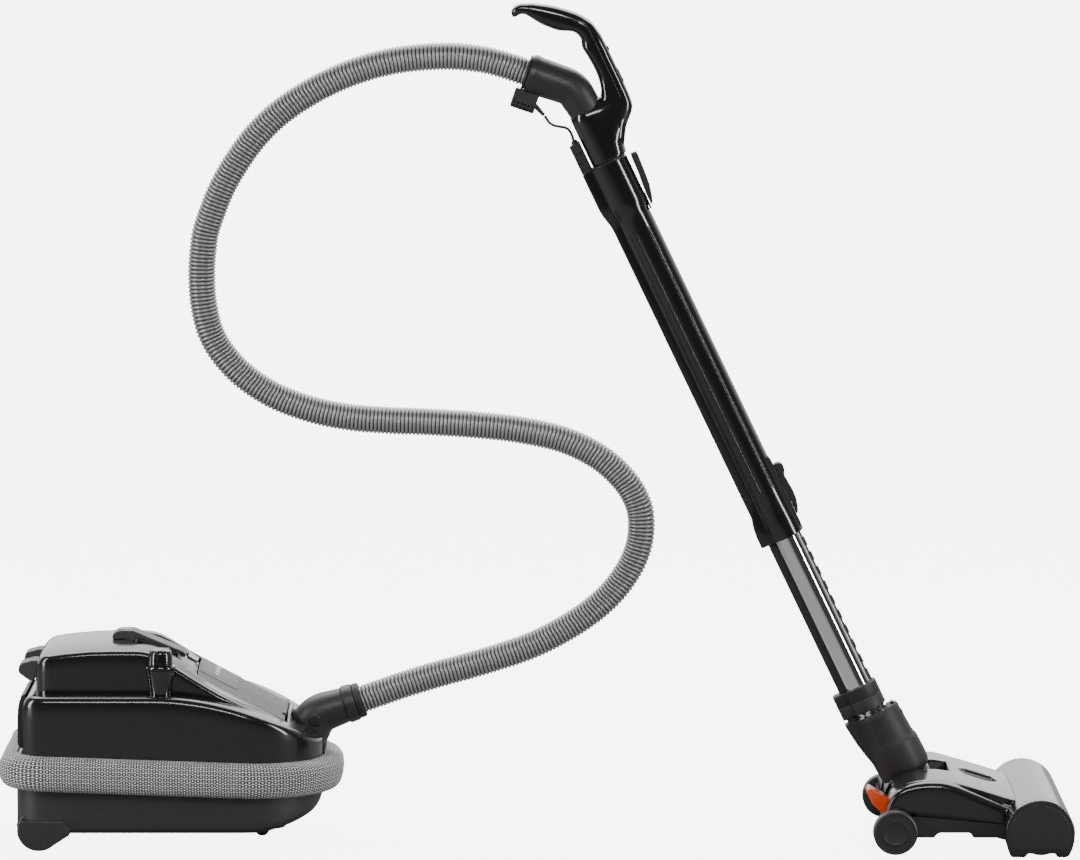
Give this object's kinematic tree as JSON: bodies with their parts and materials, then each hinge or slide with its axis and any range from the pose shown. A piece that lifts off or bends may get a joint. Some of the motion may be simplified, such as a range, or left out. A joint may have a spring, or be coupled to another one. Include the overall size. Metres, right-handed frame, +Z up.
{
  "type": "canister vacuum cleaner",
  "caption": "Canister vacuum cleaner with a padded woven bumper belt, a corrugated hose, a telescopic wand with a hooked grip and a powered brush head.",
  "frame": {"origin": "on the floor, at the middle of the whole cleaner's length and width", "axes": "+X from the canister towards the power head, +Y to the canister's left-hand side, +Z up"},
  "size_m": [1.3, 0.31, 1.0203],
  "materials": {
    "case_gloss": "gloss black, soft reflections",
    "case_satin": "satin dark grey",
    "dark_matt": "matt near-black",
    "belt_weave": "woven black and white cord sleeve over foam",
    "mid_grey": "satin mid grey",
    "chrome_tube": "bright chrome",
    "steel": "plain steel pin",
    "copper_iron": "wound iron core",
    "hose_skin": "ribbed grey plastic with a silver sheen",
    "lead_rubber": "matt black lead",
    "tyre_grey": "dark grey tread",
    "bag_paper": "paper fleece",
    "filter_white": "pleated filter",
    "pedal_orange": "orange-red",
    "brush_red": "roller with bristle strips",
    "belt_rubber": "flat drive belt"
  },
  "bodies": {
    "canister": {"base_tray": "case_satin", "upper_casing": "case_gloss", "airbelt": "belt_weave", "rear_panel": "case_satin", "carry_handle": "mid_grey", "inlet_socket": "case_gloss", "hose_elbow": "case_satin", "bag_holder": "mid_grey", "dust_bag": "bag_paper", "motor_housing": "mid_grey", "exhaust_filter": "filter_white", "cord_outlet": "lead_rubber", "reel_post": "mid_grey", "wheel_covers": "case_satin", "rear_axles": "steel", "knob_pod": "case_gloss", "hose": "hose_skin"},
    "lid": {"lid": "case_satin", "control_panel": "mid_grey"},
    "lid_latch": {"lid_latch": "case_gloss"},
    "power_pedal": {"power_pedal": "mid_grey"},
    "rewind_pedal": {"rewind_pedal": "mid_grey"},
    "suction_knob": {"suction_knob": "case_gloss"},
    "elbow_button": {"elbow_button": "dark_matt"},
    "rear_wheel_near": {"rear_wheel_near": "tyre_grey"},
    "rear_wheel_far": {"rear_wheel_far": "tyre_grey"},
    "castor": {"castor_fork": "dark_matt"},
    "castor_wheel": {"castor_wheel": "tyre_grey"},
    "motor_rotor": {"motor_rotor": "copper_iron"},
    "cord_reel": {"cord_reel": "dark_matt"},
    "cuff_low": {"hose_cuff_low": "dark_matt"},
    "wand_upper": {"handle_elbow": "case_satin", "grip": "case_gloss", "handle_tube": "case_gloss", "cable_block": "mid_grey", "handle_lead": "lead_rubber", "wand_plug": "case_satin", "outer_tube": "case_gloss"},
    "cuff_top": {"hose_cuff_top": "dark_matt"},
    "airflow_slide": {"airflow_slide": "dark_matt"},
    "top_catch": {"top_catch": "case_satin"},
    "telescope_button": {"telescope_button": "dark_matt"},
    "wand_lower": {"inner_tube": "chrome_tube", "rack_strip": "case_satin", "inner_duct": "dark_matt", "tube_collar": "case_satin", "neck_upper": "case_satin"},
    "neck_catch": {"neck_catch": "dark_matt"},
    "neck_lower": {"neck_lower": "case_gloss"},
    "foot": {"head_base": "dark_matt", "head_cover": "case_gloss", "roller_hood": "case_gloss", "drive_belt": "belt_rubber", "brush_motor": "steel"},
    "brush": {"brush_roller": "brush_red"},
    "pulley": {"motor_pulley": "steel"},
    "height_knob": {"height_knob": "dark_matt"},
    "release_pedal": {"release_pedal": "pedal_orange"},
    "foot_wheel_near": {"head_wheel_near": "tyre_grey"},
    "foot_wheel_far": {"head_wheel_far": "tyre_grey"}
  },
  "joints": [
    {"name": "lid_hinge", "type": "hinge", "parent": "canister", "child": "lid", "pos_m": [-0.305, 0, 0.157], "axis": [0, 1, 0], "range_deg": [0, 50]},
    {"name": "lid_latch_hinge", "type": "hinge", "parent": "canister", "child": "lid_latch", "pos_m": [-0.412, 0, 0.21533], "axis": [0, 1, 0], "range_deg": [0, 15], "stiffness_Nm_per_rad": 0.05},
    {"name": "power_pedal_hinge", "type": "hinge", "parent": "canister", "child": "power_pedal", "pos_m": [-0.593, -0.045, 0.216], "axis": [0, -1, 0], "range_deg": [0, 10], "stiffness_Nm_per_rad": 1.5},
    {"name": "rewind_pedal_hinge", "type": "hinge", "parent": "canister", "child": "rewind_pedal", "pos_m": [-0.593, 0.045, 0.216], "axis": [0, -1, 0], "range_deg": [0, 10], "stiffness_Nm_per_rad": 1.5},
    {"name": "suction_knob_turn", "type": "hinge", "parent": "canister", "child": "suction_knob", "pos_m": [-0.452, -0.095, 0.236], "axis": [0, 0, 1], "range_deg": [0, 270]},
    {"name": "elbow_button_press", "type": "slide", "parent": "canister", "child": "elbow_button", "axis": [0, 1, 0], "range_m": [0, 0.002], "stiffness_N_per_m": 400},
    {"name": "rear_wheel_near_spin", "type": "hinge", "parent": "canister", "child": "rear_wheel_near", "pos_m": [-0.6, -0.103, 0.026], "axis": [0, 1, 0], "continuous": true},
    {"name": "rear_wheel_far_spin", "type": "hinge", "parent": "canister", "child": "rear_wheel_far", "pos_m": [-0.6, 0.103, 0.026], "axis": [0, 1, 0], "continuous": true},
    {"name": "castor_swivel", "type": "hinge", "parent": "canister", "child": "castor", "pos_m": [-0.324, 0, 0.018], "axis": [0, 0, 1], "continuous": true},
    {"name": "castor_wheel_spin", "type": "hinge", "parent": "castor", "child": "castor_wheel", "pos_m": [-0.334, 0, 0.009], "axis": [0, 1, 0], "continuous": true},
    {"name": "motor_spin", "type": "hinge", "parent": "canister", "child": "motor_rotor", "pos_m": [-0.587, 0.048, 0.112], "axis": [1, 0, 0], "continuous": true},
    {"name": "reel_spin", "type": "hinge", "parent": "canister", "child": "cord_reel", "pos_m": [-0.552, -0.058, 0.095], "axis": [0, 1, 0], "continuous": true},
    {"name": "cuff_low_turn", "type": "hinge", "parent": "canister", "child": "cuff_low", "pos_m": [-0.219, 0, 0.166], "axis": [0.9497, 0, 0.3131], "continuous": true},
    {"name": "wand_lean", "type": "hinge", "parent": "canister", "child": "wand_upper", "pos_m": [0.452, 0, 0.057], "axis": [0, 1, 0], "range_deg": [-12, 20], "deforming": ["hose"]},
    {"name": "telescope", "type": "slide", "parent": "wand_upper", "child": "wand_lower", "axis": [-0.4321, 0, 0.9018], "range_m": [0, 0.19]},
    {"name": "cuff_top_turn", "type": "hinge", "parent": "wand_upper", "child": "cuff_top", "pos_m": [-0.00733, 0, 0.93469], "axis": [-0.9474, 0, 0.3202], "continuous": true},
    {"name": "airflow_slide_move", "type": "slide", "parent": "wand_upper", "child": "airflow_slide", "axis": [0.4607, 0, -0.8876], "range_m": [0, 0.018]},
    {"name": "top_catch_press", "type": "hinge", "parent": "wand_upper", "child": "top_catch", "pos_m": [0.13861, 0, 0.78284], "axis": [0, -1, 0], "range_deg": [0, 4], "stiffness_Nm_per_rad": 1},
    {"name": "telescope_button_slide", "type": "slide", "parent": "wand_upper", "child": "telescope_button", "axis": [-0.4321, 0, 0.9018], "range_m": [0, 0.006], "stiffness_N_per_m": 500},
    {"name": "neck_catch_press", "type": "hinge", "parent": "wand_lower", "child": "neck_catch", "pos_m": [0.43855, 0, 0.16144], "axis": [0, 1, 0], "range_deg": [0, 8], "stiffness_Nm_per_rad": 0.5},
    {"name": "neck_swivel", "type": "hinge", "parent": "wand_lower", "child": "neck_lower", "pos_m": [0.45504, 0, 0.07842], "axis": [-0.4321, 0, 0.9018], "range_deg": [-35, 35]},
    {"name": "neck_tilt", "type": "hinge", "parent": "neck_lower", "child": "foot", "pos_m": [0.452, 0, 0.057], "axis": [0, 1, 0], "range_deg": [-20, 12]},
    {"name": "brush_spin", "type": "hinge", "parent": "foot", "child": "brush", "pos_m": [0.608, 0, 0.028], "axis": [0, 1, 0], "continuous": true},
    {"name": "pulley_spin", "type": "hinge", "parent": "foot", "child": "pulley", "pos_m": [0.515, 0.08, 0.046], "axis": [0, 1, 0], "continuous": true},
    {"name": "height_knob_turn", "type": "hinge", "parent": "foot", "child": "height_knob", "pos_m": [0.542, 0, 0.0743], "axis": [0.2898, 0, 0.9571], "range_deg": [0, 135]},
    {"name": "release_pedal_press", "type": "hinge", "parent": "foot", "child": "release_pedal", "pos_m": [0.43, -0.06, 0.048], "axis": [0, -1, 0], "range_deg": [0, 12], "stiffness_Nm_per_rad": 1.5},
    {"name": "foot_wheel_near_spin", "type": "hinge", "parent": "foot", "child": "foot_wheel_near", "pos_m": [0.435, -0.1295, 0.027], "axis": [0, 1, 0], "continuous": true},
    {"name": "foot_wheel_far_spin", "type": "hinge", "parent": "foot", "child": "foot_wheel_far", "pos_m": [0.435, 0.1295, 0.027], "axis": [0, 1, 0], "continuous": true}
  ],
  "couplings": [
    {"joint": "neck_tilt", "follows": "wand_lean", "ratio": -1},
    {"joint": "pulley_spin", "follows": "brush_spin", "ratio": 1.7778}
  ]
}
